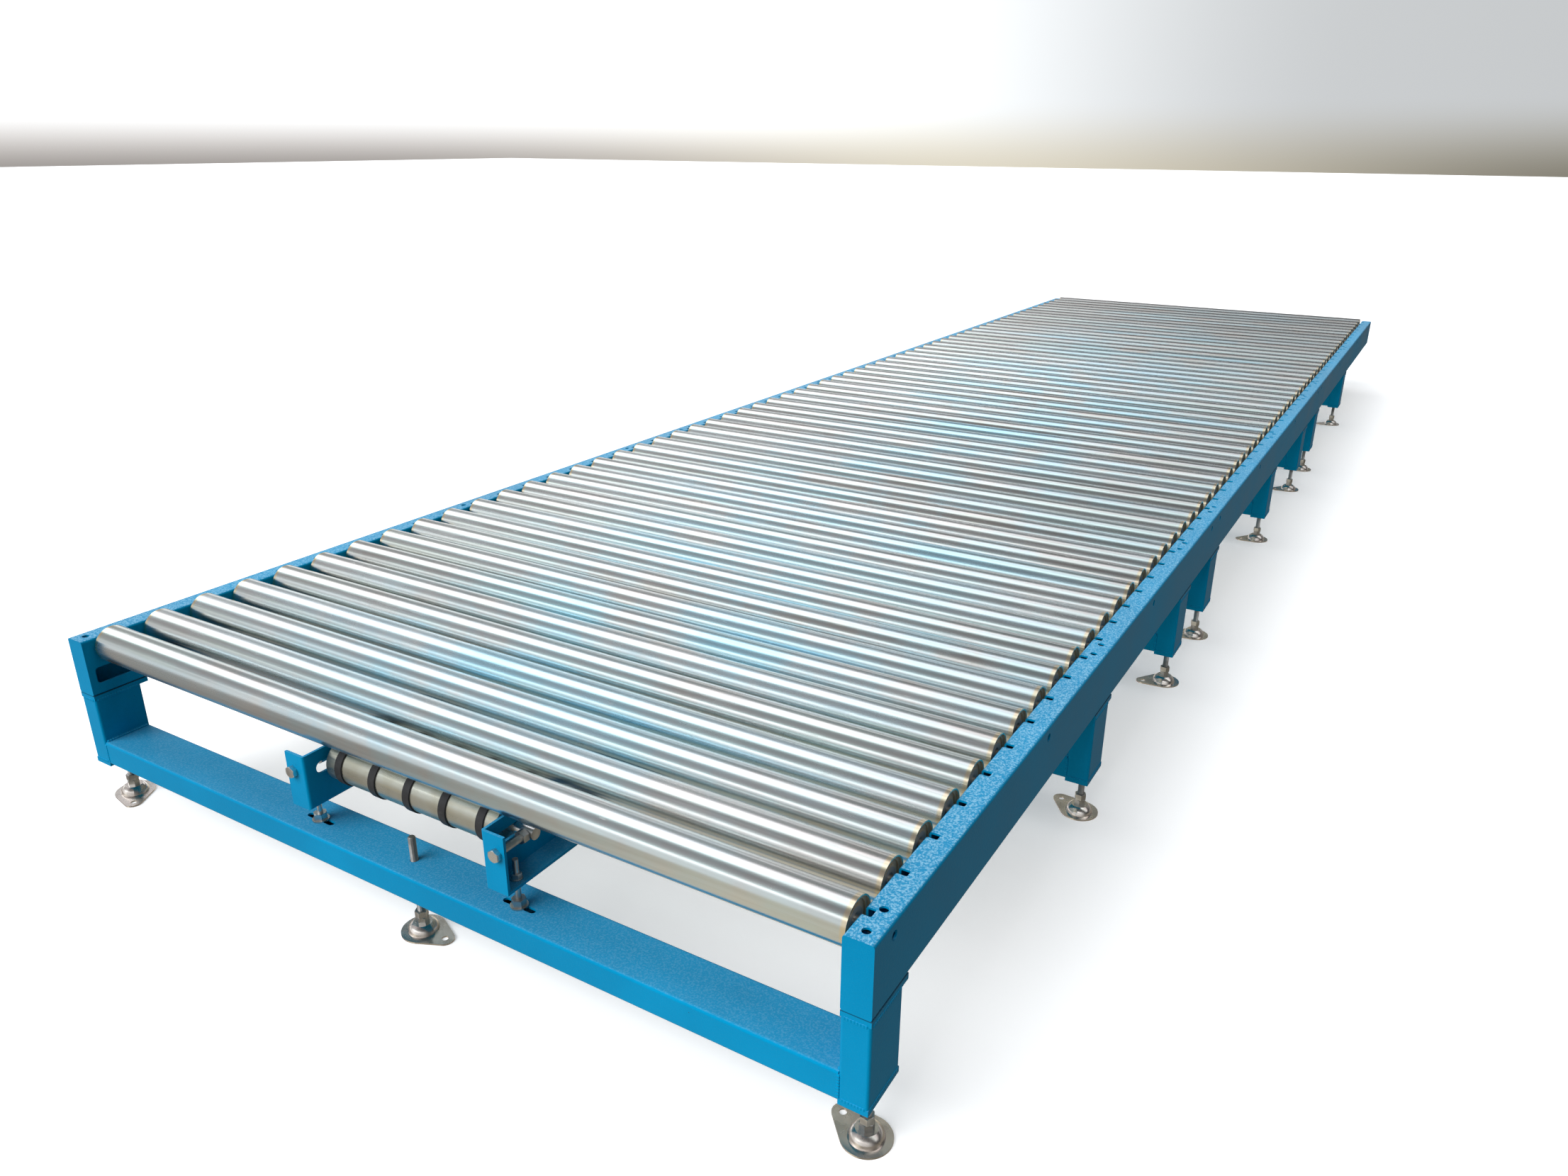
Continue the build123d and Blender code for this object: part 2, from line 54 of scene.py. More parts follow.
# Places and sizes of the conveyor's pieces and of the studio, in metres
END_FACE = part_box("rail_end_plates")[0].x
END_CAP = 0.009
RAIL_START = END_FACE + END_CAP
PITCH = 0.12
SECTION = 2.4
ROLLER_RADIUS = 0.0445
TUBE_WALL = 0.003
TUBE_BORE = ROLLER_RADIUS - TUBE_WALL
BEARING_SEAT = 0.0236
ROLLER_HALF = 1.0
AXLE_HEIGHT = 0.414
RAIL_Y = 1.0355
RAIL_INSIDE = 1.008
RAIL_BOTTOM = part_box("rail_right_1")[0].z
RAIL_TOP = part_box("rail_right_1")[1].z
LEG_DEPTH = 0.113
LEG_WIDTH = 0.055
PLATE = 0.012
LEG_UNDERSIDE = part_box("leg_foot_plates")[0].z
CROSSBAR_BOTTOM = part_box("front_crossbar")[0].z
CROSSBAR_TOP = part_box("front_crossbar")[1].z
FIRST_LEG = LEG_DEPTH / 2 - END_CAP
LEG_NEAR = LEG_DEPTH / 2
LEG_MIDDLE = 1.2
LEG_FAR = 2.045
LEGS = (FIRST_LEG, LEG_MIDDLE, LEG_FAR, SECTION + LEG_NEAR, SECTION + LEG_MIDDLE,
        SECTION + LEG_FAR, 2 * SECTION + LEG_NEAR, 2 * SECTION + LEG_MIDDLE)
CENTRE_FOOT_LINE = 0.052
CENTRE_FOOT_SHIFT = CENTRE_FOOT_LINE - LEG_DEPTH / 2
STUD_BOTTOM = 0.0185
SIDE_STUD_TOP = 0.176
CENTRE_STUD_TOP = 0.23
IDLER_SETBACK = 0.096
IDLER_X = END_FACE + IDLER_SETBACK
IDLER_HEIGHT = 0.316
BAND_OUTSIDE = 0.0475
BAND_HALF = 0.01
BAND_ROUND = 0.0011
BAND_SPACING = 0.1
WELD_STANDS_PROUD = 0.0021
WELD_INSET = 0.005
THREAD_ROOT = 0.0071
THREAD_CREST = 0.008
THREAD_CHAMFER = 0.001
FLOOR_HALF = 60
VIEW_DEPTH = 200

# Sides, counts, shares of a bead's radius, and the sensor's width in millimetres
SIDES = (-1, 1)
BAND_STEPS = 72
THREAD_STEPS = 12
WELD_SIDES = 6
WELD_END = 0.6
WELD_DIP = 0.82
SENSOR_WIDTH = 36


# Settings a user would change

class ConveyorFinish(bpy.types.PropertyGroup):
    """Colours and wear of the conveyor's surfaces."""
    paint: bpy.props.FloatVectorProperty(
        name="Paint", description="Colour of the powder coat", subtype="COLOR",
        size=3, min=0, max=1, default=(0.0, 0.215, 0.43))
    paint_light: bpy.props.FloatVectorProperty(
        name="Light paint", description="Palest tone of the powder coat", subtype="COLOR",
        size=3, min=0, max=1, default=(0.0, 0.265, 0.52))
    zinc: bpy.props.FloatVectorProperty(
        name="Zinc", description="Main colour of the plated tubes", subtype="COLOR",
        size=3, min=0, max=1, default=(0.64, 0.64, 0.62))
    zinc_blue: bpy.props.FloatVectorProperty(
        name="Blue zinc", description="Bluish passivation on the tubes", subtype="COLOR",
        size=3, min=0, max=1, default=(0.45, 0.74, 0.88))
    zinc_brown: bpy.props.FloatVectorProperty(
        name="Dull zinc", description="Brownish stains on the tubes", subtype="COLOR",
        size=3, min=0, max=1, default=(0.46, 0.41, 0.35))
    yellow_zinc: bpy.props.FloatVectorProperty(
        name="Yellow zinc", description="Colour of the idler tube", subtype="COLOR",
        size=3, min=0, max=1, default=(0.5, 0.49, 0.4))
    rubber: bpy.props.FloatVectorProperty(
        name="Rubber", description="Colour of the idler's bands", subtype="COLOR",
        size=3, min=0, max=1, default=(0.016, 0.016, 0.018))
    wear: bpy.props.FloatProperty(
        name="Wear", description="How strong stains and scratches are",
        subtype="FACTOR", min=0, max=1, default=0.6)


class ConveyorDetail(bpy.types.PropertyGroup):
    """Sizes of the modelled details."""
    weld: bpy.props.FloatProperty(
        name="Weld", description="Radius of a weld bead", unit="LENGTH",
        min=0.001, max=0.006, default=0.005)
    ripple: bpy.props.FloatProperty(
        name="Ripple", description="Distance between two ripples of a weld bead", unit="LENGTH",
        min=0.003, max=0.02, default=0.006)
    thread: bpy.props.FloatProperty(
        name="Thread pitch", description="Distance between two turns of a foot's thread",
        unit="LENGTH", min=0.001, max=0.004, default=0.002)


class ConveyorStudio(bpy.types.PropertyGroup):
    """The camera and the lights."""
    camera_place: bpy.props.FloatVectorProperty(
        name="Camera", description="Where the camera stands", subtype="XYZ", unit="LENGTH",
        size=3, default=(END_FACE - 1.238, -1.6415, 1.5476))
    camera_turn: bpy.props.FloatVectorProperty(
        name="Camera turn", description="How the camera is turned", subtype="EULER", size=3,
        default=(math.radians(68.3367), math.radians(-0.2732), math.radians(-59.112)))
    lens: bpy.props.FloatProperty(
        name="Lens", description="Focal length on a 36 mm sensor", unit="CAMERA",
        min=10, max=200, default=26.111)
    daylight: bpy.props.FloatProperty(
        name="Daylight", description="Strength of the light from all round", min=0, max=5,
        default=1.06)
    key: bpy.props.FloatProperty(
        name="Key", description="Strength of the key light", min=0, max=20, default=2.9)
    key_from: bpy.props.FloatVectorProperty(
        name="Key from", description="Direction the key light comes from", subtype="DIRECTION",
        size=3, default=(-0.72, 0.3, 0.62))
    softness: bpy.props.FloatProperty(
        name="Softness", description="How wide the key light is", subtype="ANGLE",
        min=0, max=math.pi, default=math.radians(50))


# Shader maths: a Wire holds one output socket, and Python's operators add Math nodes

class Wire:
    def __init__(self, finish, socket):
        self.finish = finish
        self.socket = socket

    def maths(self, operation, first, second):
        return self.finish.node("ShaderNodeMath", {"operation": operation}, {0: first, 1: second})

    def __add__(self, other):
        return self.maths("ADD", self, other)

    def __radd__(self, other):
        return self.maths("ADD", other, self)

    def __sub__(self, other):
        return self.maths("SUBTRACT", self, other)

    def __rsub__(self, other):
        return self.maths("SUBTRACT", other, self)

    def __mul__(self, other):
        return self.maths("MULTIPLY", self, other)

    def __rmul__(self, other):
        return self.maths("MULTIPLY", other, self)

    def __truediv__(self, other):
        return self.maths("DIVIDE", self, other)


class Tree:
    """A node tree whose nodes are made and joined by plain calls."""

    def __init__(self, owner, shader, output, place):
        owner.use_nodes = True
        self.nodes = owner.node_tree.nodes
        self.links = owner.node_tree.links
        self.nodes.clear()
        self.shader = self.nodes.new(shader)
        end = self.nodes.new(output)
        self.links.new(self.shader.outputs[0], end.inputs["Surface"])
        self.place = self.node("ShaderNodeTexCoord", output=place)

    def node(self, kind, settings=None, inputs=None, output=0):
        made = self.nodes.new(kind)
        for key, value in (settings or {}).items():
            setattr(made, key, value)
        for key, value in (inputs or {}).items():
            self.feed(made.inputs[key], value)
        return Wire(self, made.outputs[output])

    def feed(self, socket, value):
        if isinstance(value, Wire):
            self.links.new(value.socket, socket)
        elif hasattr(value, "__len__") and len(socket.default_value) == 4 and len(value) == 3:
            socket.default_value = (*value, 1)
        else:
            socket.default_value = value

    def function(self, operation, value):
        return self.node("ShaderNodeMath", {"operation": operation}, {0: value})

    def axes(self, vector=None):
        made = self.nodes.new("ShaderNodeSeparateXYZ")
        self.feed(made.inputs[0], vector or self.place)
        return [Wire(self, socket) for socket in made.outputs]

    def vector(self, x, y, z):
        return self.node("ShaderNodeCombineXYZ", None, {0: x, 1: y, 2: z})

    def noise(self, scale, detail=3.0, roughness=0.55, stretch=(1, 1, 1), at=None):
        moved = self.node("ShaderNodeVectorMath", {"operation": "MULTIPLY"},
                          {0: at or self.place, 1: stretch})
        return self.node("ShaderNodeTexNoise", None, {
            "Vector": moved, "Scale": scale, "Detail": detail, "Roughness": roughness})

    def cells(self, scale, stretch=(1, 1, 1)):
        moved = self.node("ShaderNodeVectorMath", {"operation": "MULTIPLY"},
                          {0: self.place, 1: stretch})
        return self.node("ShaderNodeTexVoronoi", None, {"Vector": moved, "Scale": scale})

    def between(self, value, low, high, start=0.0, end=1.0):
        """A smooth ramp from start to end as the value goes from low to high."""
        return self.node("ShaderNodeMapRange", {"interpolation_type": "SMOOTHSTEP"}, {
            "Value": value, "From Min": low, "From Max": high, "To Min": start, "To Max": end})

    def mix(self, share, first, second):
        made = self.nodes.new("ShaderNodeMix")
        made.data_type = "RGBA"
        for index, value in ((0, share), (6, first), (7, second)):
            self.feed(made.inputs[index], value)
        return Wire(self, made.outputs[2])

    def bump(self, height, strength, distance):
        return self.node("ShaderNodeBump", None, {
            "Height": height, "Strength": strength, "Distance": distance})

    def show(self, **sockets):
        for socket, value in sockets.items():
            self.feed(self.shader.inputs[socket.replace("_", " ")], value)


class Finish(Tree):
    """One procedural material built on a Principled shader."""

    def __init__(self, name, **constants):
        self.material = bpy.data.materials.new(name)
        super().__init__(self.material, "ShaderNodeBsdfPrincipled", "ShaderNodeOutputMaterial",
                         "Object")
        for socket, value in constants.items():
            self.shader.inputs[socket.replace("_", " ")].default_value = value

    def show(self, **sockets):
        super().show(**sockets)
        return self.material


def daylight(world, strength):
    """Bright strips overhead, a glow low down where the conveyor leads, and warm ground."""
    tree = Tree(world, "ShaderNodeBackground", "ShaderNodeOutputWorld", "Generated")
    x, y, z = tree.axes()
    ahead = tree.between(x * 0.86 + y * 0.51, -0.3, 0.7)
    left = tree.between(y, -0.6, 0.5, 0.08, 0.3)
    low = tree.between(z, 0.24, 0.13)
    across = x / tree.function("ABSOLUTE", z)
    strip = tree.between(tree.function("SINE", across * 3.4 + 0.9), 0.1, 0.75)
    fine = tree.function("SINE", across * 12.5 + 1.7)
    overhead = tree.between(z, 0.28, 0.5)
    strip = strip * overhead * (0.85 + fine * 0.28)
    hue = tree.between(tree.function("SINE", across * 5.3 + 2), -0.9, 0.9)
    behind = tree.between(x, -0.2, -0.9) * tree.between(z, 0.9, 0.2)
    lean = tree.between(y, 0.1, 0.6, 0.6, 1.25)
    above = tree.between(z, -0.03, 0.03)
    aside = tree.between(y, 0.38, 0.78)
    ground = tree.between(y, -0.1, 0.4, 0.2, 0.7) - aside * 0.4
    sky = (left + low * ahead * 0.75 + strip * 1.8) * lean + behind * 0.6
    below = tree.mix(aside, (1, 0.93, 0.76), (1, 0.93, 0.88))
    tint = tree.mix(hue, (1, 0.96, 1), (0.88, 0.98, 1))
    tree.show(Color=tree.mix(above, below, tree.mix(overhead, (0.95, 0.98, 1), tint)),
              Strength=(above * sky + (1 - above) * ground) * strength)


def paint_finish(settings):
    """Satin powder coat with orange peel, pits, scuffs, a painted shade line under the rails and a
    painted glint on upward faces.
    """
    f = Finish("Blue powder coat", IOR=1.2, Specular_Tint=(0.1, 0.7, 1, 1))
    tone = f.noise(2.2, 4)
    fleck = f.noise(520, 2)
    base = f.mix(f.between(tone, 0.3, 0.7), settings.paint, settings.paint_light)
    base = f.mix(f.between(fleck, 0.45, 0.75, 0, 0.14), base, (0.02, 0.32, 0.55))
    pits = f.between(f.cells(17), 0.012, 0.02, 0.75, 0)
    base = f.mix(pits, base, (0.012, 0.03, 0.05))
    _, y, z = f.axes()
    # Painted shade: a dark line where the rails rest on the leg top plates, standing in for the
    # shadow in the gap between them
    joint = f.between(f.function("ABSOLUTE", z - RAIL_BOTTOM), 0.0016, 0.0005)
    joint = joint * f.between(f.function("ABSOLUTE", y), RAIL_INSIDE - 0.01, RAIL_INSIDE - 0.001)
    base = f.mix(joint * 0.75, base, (0.002, 0.03, 0.06))
    normal = f.node("ShaderNodeNewGeometry", output="Normal")
    upward = f.between(f.axes(normal)[2], 0.7, 0.98)
    # Painted highlight: upward faces, the rail tops most, are lightened towards pale blue to stand
    # in for their sheen
    glint_speckle = f.between(f.noise(260, 3, 0.6), 0.42, 0.66)
    rail_top = f.between(z, RAIL_TOP - 0.004, RAIL_TOP - 0.002)
    painted_glint = upward * (0.05 + glint_speckle * (0.1 + rail_top * 0.4))
    base = f.mix(painted_glint, base, (0.42, 0.68, 0.82))
    scuff = f.between(f.noise(46, 4, 0.7, (0.12, 1, 1)), 0.7, 0.76)
    base = f.mix(scuff * (0.16 * settings.wear), base, (0.12, 0.4, 0.58))
    peel = f.noise(330, 1.5, 0.4) + 0.5 * f.noise(130, 1, 0.4) - pits * 0.6
    rough = f.between(tone, 0.2, 0.8, 0.32, 0.44) + scuff * 0.12
    return f.show(Base_Color=base, Roughness=rough, Normal=f.bump(peel, 0.34, 0.0007))


def roller_parts(f):
    """Wires for a roller: its number, and distances from, ahead of, above and along its axis."""
    x, y, z = f.axes()
    along = (x - RAIL_START) / PITCH
    number = f.function("FLOOR", along)
    off_axis = (along - number - 0.5) * PITCH
    height = z - AXLE_HEIGHT
    radius = f.function("SQRT", off_axis * off_axis + height * height)
    return number, radius, off_axis, height, y


def tube_finish(settings):
    """Zinc plated tube, streaked along its length, golden at its ends, darker from the 30th roller
    on.
    """
    f = Finish("Zinc roller tube", Anisotropic=0.25)
    number, radius, off_axis, height, y = roller_parts(f)
    chance = f.node("ShaderNodeTexWhiteNoise", {"noise_dimensions": "1D"}, {"W": number})
    other = f.node("ShaderNodeTexWhiteNoise", {"noise_dimensions": "1D"}, {"W": number + 71.3})
    own = f.vector(off_axis + chance * 9, y + other * 5, height + chance * 4)
    streak = f.noise(1, 4, 0.6, (34, 0.8, 34), own)
    fine = f.noise(1, 2, 0.5, (120, 1.2, 120), own)
    cloud = f.noise(3.2, 5, 0.62, (1, 0.7, 1), own)
    haze = f.noise(1, 4, 0.6, (40, 5, 40), own)
    middle = 1 - f.between(f.function("ABSOLUTE", y + (other - 0.5) * 0.5), 0.25, 0.95)
    base = f.mix(f.between(streak, 0.38, 0.68), settings.zinc, (0.75, 0.76, 0.745))
    blue = f.between(cloud, 0.33, 0.64) * (0.45 + middle * 0.55) * (0.55 + chance * 0.45)
    blue = blue * f.between(y, 0.9, 0.1, 0.35, 1)
    base = f.mix(blue, base, settings.zinc_blue)
    brown = f.between(cloud, 0.6, 0.34) * f.between(streak, 0.62, 0.35)
    base = f.mix(brown * (0.35 + other * 0.5) * settings.wear, base, settings.zinc_brown)
    green = f.between(streak, 0.58, 0.42) * f.between(cloud, 0.42, 0.62)
    base = f.mix(green * 0.25, base, (0.72, 0.73, 0.56))
    base = f.mix(f.between(fine, 0.6, 0.85, 0, 0.1), base, (0.5, 0.47, 0.42))
    ticks = f.between(f.cells(1, (42, 6, 42)), 0.06, 0.03) * f.between(haze, 0.52, 0.6)
    base = f.mix(ticks * 0.35, base, (0.8, 0.82, 0.82))
    ends = f.between(f.function("ABSOLUTE", y), ROLLER_HALF - 0.012, ROLLER_HALF - 0.006)
    base = f.mix(ends * 0.85, base, (0.78, 0.66, 0.46))
    # Rollers from the 30th on are mixed towards dark grey, more and more up to the 54th
    darker = f.between(number, 30, 54, 0, 0.75) * (0.6 + other * 0.4)
    base = f.mix(darker, base, (0.3, 0.285, 0.27))
    edge = 0.0002
    inside = f.between(radius, TUBE_BORE + edge, TUBE_BORE - edge)
    base = f.mix(inside, base, (0.66, 0.52, 0.35))
    bearing = f.between(radius, BEARING_SEAT + edge, BEARING_SEAT - edge)
    base = f.mix(bearing, base, (0.45, 0.44, 0.42))
    rough = f.between(streak, 0.25, 0.75, 0.19, 0.28) + f.between(haze, 0.5, 0.8, 0, 0.1)
    rough = rough + inside * 0.2 + ticks * 0.15
    grain = fine * 0.6 + haze * 0.4
    return f.show(Base_Color=base, Roughness=rough, Metallic=1 - inside * 0.75,
                  Normal=f.bump(grain, 0.025, 0.0004))


def idler_finish(settings):
    """Pale yellow zinc on the idler's tube."""
    f = Finish("Yellow zinc tube")
    streak = f.noise(1, 4, 0.6, (90, 5, 90))
    cloud = f.noise(12, 4)
    base = f.mix(f.between(cloud, 0.3, 0.7), settings.yellow_zinc, (0.59, 0.6, 0.54))
    base = f.mix(f.between(streak, 0.5, 0.75, 0, 0.5), base, (0.55, 0.48, 0.33))
    return f.show(Base_Color=base, Metallic=0.95, Roughness=f.between(streak, 0.3, 0.7, 0.24, 0.42),
                  Normal=f.bump(streak, 0.1, 0.0005))


def fastener_finish(name, bright, darker, low, high):
    """Zinc plated or turned steel with cloudy dull patches and a little rust."""
    f = Finish(name)
    patch = f.noise(30, 2, 0.45)
    grain = f.noise(900, 2)
    base = f.mix(f.between(patch, 0.38, 0.66), bright, darker)
    rust = f.between(f.noise(38, 3, 0.5), 0.66, 0.78, 0, 0.2)
    base = f.mix(rust, base, (0.3, 0.19, 0.11))
    rough = f.between(patch, 0.25, 0.75, low, high) + rust * 0.3
    return f.show(Base_Color=base, Metallic=1 - rust * 0.7, Roughness=rough,
                  Normal=f.bump(grain, 0.02, 0.0003))


def rubber_finish(settings):
    """Matt black rubber with a dusty bloom."""
    f = Finish("Black rubber", IOR=1.5)
    dust = f.between(f.noise(60, 5, 0.7), 0.45, 0.75)
    base = f.mix(dust * 0.3, settings.rubber, (0.09, 0.09, 0.09))
    return f.show(Base_Color=base, Roughness=f.between(dust, 0, 1, 0.5, 0.75),
                  Normal=f.bump(f.noise(700, 2), 0.3, 0.0004))


def floor_finish():
    """A plain pale floor that glows a little, so that the shadows on it stay pale."""
    f = Finish("Pale floor", Emission_Color=(1, 1, 1, 1), Emission_Strength=0.35)
    cloud = f.noise(0.6, 2)
    base = f.mix(cloud, (0.87, 0.87, 0.875), (0.89, 0.89, 0.893))
    return f.show(Base_Color=base, Roughness=f.between(cloud, 0, 1, 0.75, 0.85))


def dress(material, *names):
    for name in names:
        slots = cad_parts[name].data.materials
        if not len(slots):
            slots.append(material)
        for index in range(len(slots)):
            slots[index] = material


# Mesh helpers

def finished(bm, name, body, material):
    """Turns a bmesh into a piece that rides on a body."""
    bmesh.ops.remove_doubles(bm, verts=bm.verts, dist=1e-6)
    bmesh.ops.recalc_face_normals(bm, faces=bm.faces)
    mesh = bpy.data.meshes.new(name)
    bm.to_mesh(mesh)
    bm.free()
    mesh.materials.append(material)
    piece = bpy.data.objects.new(name, mesh)
    bpy.context.scene.collection.objects.link(piece)
    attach(piece, body)
    return piece


def repeated(bm, shifts):
    """Copies everything in the bmesh to the later shifts, then moves it to the first."""
    source = bm.verts[:] + bm.edges[:] + bm.faces[:]
    for shift in shifts[1:]:
        made = bmesh.ops.duplicate(bm, geom=source)["geom"]
        verts = [part for part in made if isinstance(part, bmesh.types.BMVert)]
        bmesh.ops.translate(bm, verts=verts, vec=shift)
    verts = [part for part in source if isinstance(part, bmesh.types.BMVert)]
    bmesh.ops.translate(bm, verts=verts, vec=shifts[0])


def weld_bead(bm, start, end, radius, ripple):
    """A rippled bead: a small disc extruded step by step along a seam."""
    start = Vector(start)
    run = Vector(end) - start
    steps = max(3, round(run.length / ripple) * 2)
    turn = run.to_track_quat("Z", "Y").to_matrix().to_4x4()
    disc = bmesh.ops.create_circle(bm, cap_ends=True, segments=WELD_SIDES,
                                   radius=radius * WELD_END,
                                   matrix=Matrix.Translation(start) @ turn)
    face = disc["verts"][0].link_faces[0]
    for step in range(1, steps + 1):
        made = bmesh.ops.extrude_face_region(bm, geom=[face])
        old = face
        face = next(part for part in made["geom"] if isinstance(part, bmesh.types.BMFace))
        if step > 1:
            bmesh.ops.delete(bm, geom=[old], context="FACES_ONLY")
        bmesh.ops.translate(bm, verts=face.verts, vec=run / steps)
        share = WELD_END if step == steps else (1.0 if step % 2 else WELD_DIP)
        before = WELD_END if step == 1 else (1.0 if (step - 1) % 2 else WELD_DIP)
        centre = face.calc_center_median()
        bmesh.ops.scale(bm, verts=face.verts, vec=(share / before,) * 3,
                        space=Matrix.Translation(-centre))


def spun(bm, outline, centre, axis, steps):
    """Spins an outline of points once round an axis."""
    verts = [bm.verts.new(point) for point in outline]
    edges = [bm.edges.new(pair) for pair in zip(verts, verts[1:])]
    bmesh.ops.spin(bm, geom=verts + edges, cent=centre, axis=axis, angle=2 * math.pi,
                   steps=steps, use_merge=True)


# Operators

class Conveyor:
    """What the operators that finish the conveyor share."""
    bl_options = {"REGISTER", "UNDO"}

    @property
    def finish(self):
        return bpy.context.scene.conveyor_finish

    @property
    def detail(self):
        return bpy.context.scene.conveyor_detail


class CONVEYOR_OT_frame(Conveyor, bpy.types.Operator):
    """Powder coat the rails, legs, crossbars and idler brackets"""
    bl_idname = "conveyor.frame"
    bl_label = "Painted frame"

    def execute(self, context):
        names = [f"rail_{side}_{section}" for side in ("right", "left") for section in (1, 2, 3)]
        names += ["rail_end_plates", "rail_joint_plates", "leg_posts", "leg_top_plates",
                  "leg_foot_plates", "front_crossbar", "crossbars", "idler_bracket_left",
                  "idler_bracket_right"]
        dress(paint_finish(self.finish), *names)
        return {"FINISHED"}


class CONVEYOR_OT_welds(Conveyor, bpy.types.Operator):
    """Add the weld beads round the posts and the ends of the crossbars"""
    bl_idname = "conveyor.welds"
    bl_label = "Weld beads"

    def execute(self, context):
        radius = self.detail.weld
        bm = bmesh.new()
        half_x = LEG_DEPTH / 2
        half_y = LEG_WIDTH / 2
        sunk = radius - WELD_STANDS_PROUD
        for z in (LEG_UNDERSIDE + PLATE, RAIL_BOTTOM - PLATE):
            for y in (sunk - half_y, half_y - sunk):
                weld_bead(bm, (WELD_INSET - half_x, y, z), (half_x - WELD_INSET, y, z), radius,
                          self.detail.ripple)
            for x in (sunk - half_x, half_x - sunk):
                weld_bead(bm, (x, WELD_INSET - half_y, z), (x, half_y - WELD_INSET, z), radius,
                          self.detail.ripple)
        places = [(RAIL_START + leg, side * RAIL_Y, 0) for leg in LEGS for side in SIDES]
        repeated(bm, [Vector(place) for place in places])
        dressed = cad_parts["leg_posts"].data.materials[0]
        finished(bm, "post_welds", "frame", dressed)
        bm = bmesh.new()
        for side in SIDES:
            y = side * RAIL_INSIDE
            for x in (sunk - half_x, half_x - sunk):
                weld_bead(bm, (x, y, CROSSBAR_BOTTOM + WELD_INSET),
                          (x, y, CROSSBAR_TOP - WELD_INSET), radius, self.detail.ripple)
            weld_bead(bm, (WELD_INSET - half_x, y, CROSSBAR_TOP),
                      (half_x - WELD_INSET, y, CROSSBAR_TOP), radius, self.detail.ripple)
        repeated(bm, [Vector((RAIL_START + leg, 0, 0)) for leg in LEGS])
        finished(bm, "crossbar_welds", "frame", dressed)
        return {"FINISHED"}


class CONVEYOR_OT_rollers(Conveyor, bpy.types.Operator):
    """Plate the conveyor rollers and finish their axles and bearing rings"""
    bl_idname = "conveyor.rollers"
    bl_label = "Rollers"

    def execute(self, context):
        names = [f"roller_{number:02d}" for number in range(1, 21)]
        dress(tube_finish(self.finish), *names, "section_2_rollers", "section_3_rollers")
        steel = fastener_finish("Turned steel", (0.5, 0.48, 0.45), (0.3, 0.28, 0.25), 0.3, 0.5)
        dress(steel, "roller_axles", "end_roller_axles", "bearing_inner_rings", "idler_inner_rings",
              "idler_bearing_housings")
        return {"FINISHED"}


class CONVEYOR_OT_idler(Conveyor, bpy.types.Operator):
    """Plate the idler tube and fit its rubber bands"""
    bl_idname = "conveyor.idler"
    bl_label = "Banded idler"

    def execute(self, context):
        dress(idler_finish(self.finish), "idler_tube")
        bm = bmesh.new()
        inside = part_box("idler_tube")[1].z - IDLER_HEIGHT
        shoulder = BAND_OUTSIDE - BAND_ROUND
        curve = BAND_OUTSIDE - BAND_ROUND / 3
        outline = [(0, -BAND_HALF, inside), (0, -BAND_HALF, shoulder),
                   (0, -BAND_HALF + BAND_ROUND / 3, curve),
                   (0, -BAND_HALF + BAND_ROUND, BAND_OUTSIDE),
                   (0, BAND_HALF - BAND_ROUND, BAND_OUTSIDE),
                   (0, BAND_HALF - BAND_ROUND / 3, curve), (0, BAND_HALF, shoulder),
                   (0, BAND_HALF, inside), (0, -BAND_HALF, inside)]
        spun(bm, outline, (0, 0, 0), (0, 1, 0), BAND_STEPS)
        repeated(bm, [Vector((IDLER_X, BAND_SPACING * index, IDLER_HEIGHT))
                      for index in (-2, -1, 0, 1, 2)])
        bands = finished(bm, "rubber_bands", "idler_roller", rubber_finish(self.finish))
        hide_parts("idler_bands")
        return {"FINISHED"}


class CONVEYOR_OT_fasteners(Conveyor, bpy.types.Operator):
    """Plate the bolts, nuts, washers and the idler's axle"""
    bl_idname = "conveyor.fasteners"
    bl_label = "Bolts and nuts"

    def execute(self, context):
        zinc = fastener_finish("Zinc fastener", (0.72, 0.72, 0.7), (0.48, 0.47, 0.45), 0.24, 0.42)
        dress(zinc, "leg_bolts", "leg_bolt_nuts", "rail_joint_bolts", "rail_joint_nuts",
              "bracket_studs", "bracket_flange_nuts", "bracket_washers", "bracket_nuts",
              "adjusting_bolts", "idler_axle", "axle_lock_nuts", "foot_nuts", "foot_thread_nuts")
        return {"FINISHED"}


class CONVEYOR_OT_feet(Conveyor, bpy.types.Operator):
    """Plate the levelling pads and cut the thread on their studs"""
    bl_idname = "conveyor.feet"
    bl_label = "Levelling feet"

    def execute(self, context):
        pad = fastener_finish("Bright zinc pad", (0.95, 0.88, 0.82), (0.8, 0.72, 0.66), 0.18, 0.32)
        dress(pad, "foot_pads")
        steel = fastener_finish("Threaded steel", (0.66, 0.64, 0.62), (0.42, 0.4, 0.38), 0.3, 0.5)
        for name, top, places in (
                ("side_foot_threads", SIDE_STUD_TOP,
                 [(RAIL_START + leg, side * RAIL_Y, 0) for leg in LEGS for side in SIDES]),
                ("centre_foot_threads", CENTRE_STUD_TOP,
                 [(RAIL_START + leg + CENTRE_FOOT_SHIFT, 0, 0) for leg in LEGS])):
            turns = int((top - STUD_BOTTOM) / self.detail.thread)
            outline = [(0, 0, STUD_BOTTOM), (THREAD_ROOT, 0, STUD_BOTTOM)]
            for turn in range(turns):
                height = STUD_BOTTOM + (turn + 0.5) * self.detail.thread
                outline += [(THREAD_CREST, 0, height),
                            (THREAD_ROOT, 0, height + self.detail.thread / 2)]
            outline += [(THREAD_ROOT - THREAD_CHAMFER, 0, top), (0, 0, top)]
            bm = bmesh.new()
            spun(bm, outline, (0, 0, 0), (0, 0, 1), THREAD_STEPS)
            repeated(bm, [Vector(place) for place in places])
            piece = finished(bm, name, "frame", steel)
            if name.startswith("side"):
                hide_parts("foot_studs")
        return {"FINISHED"}


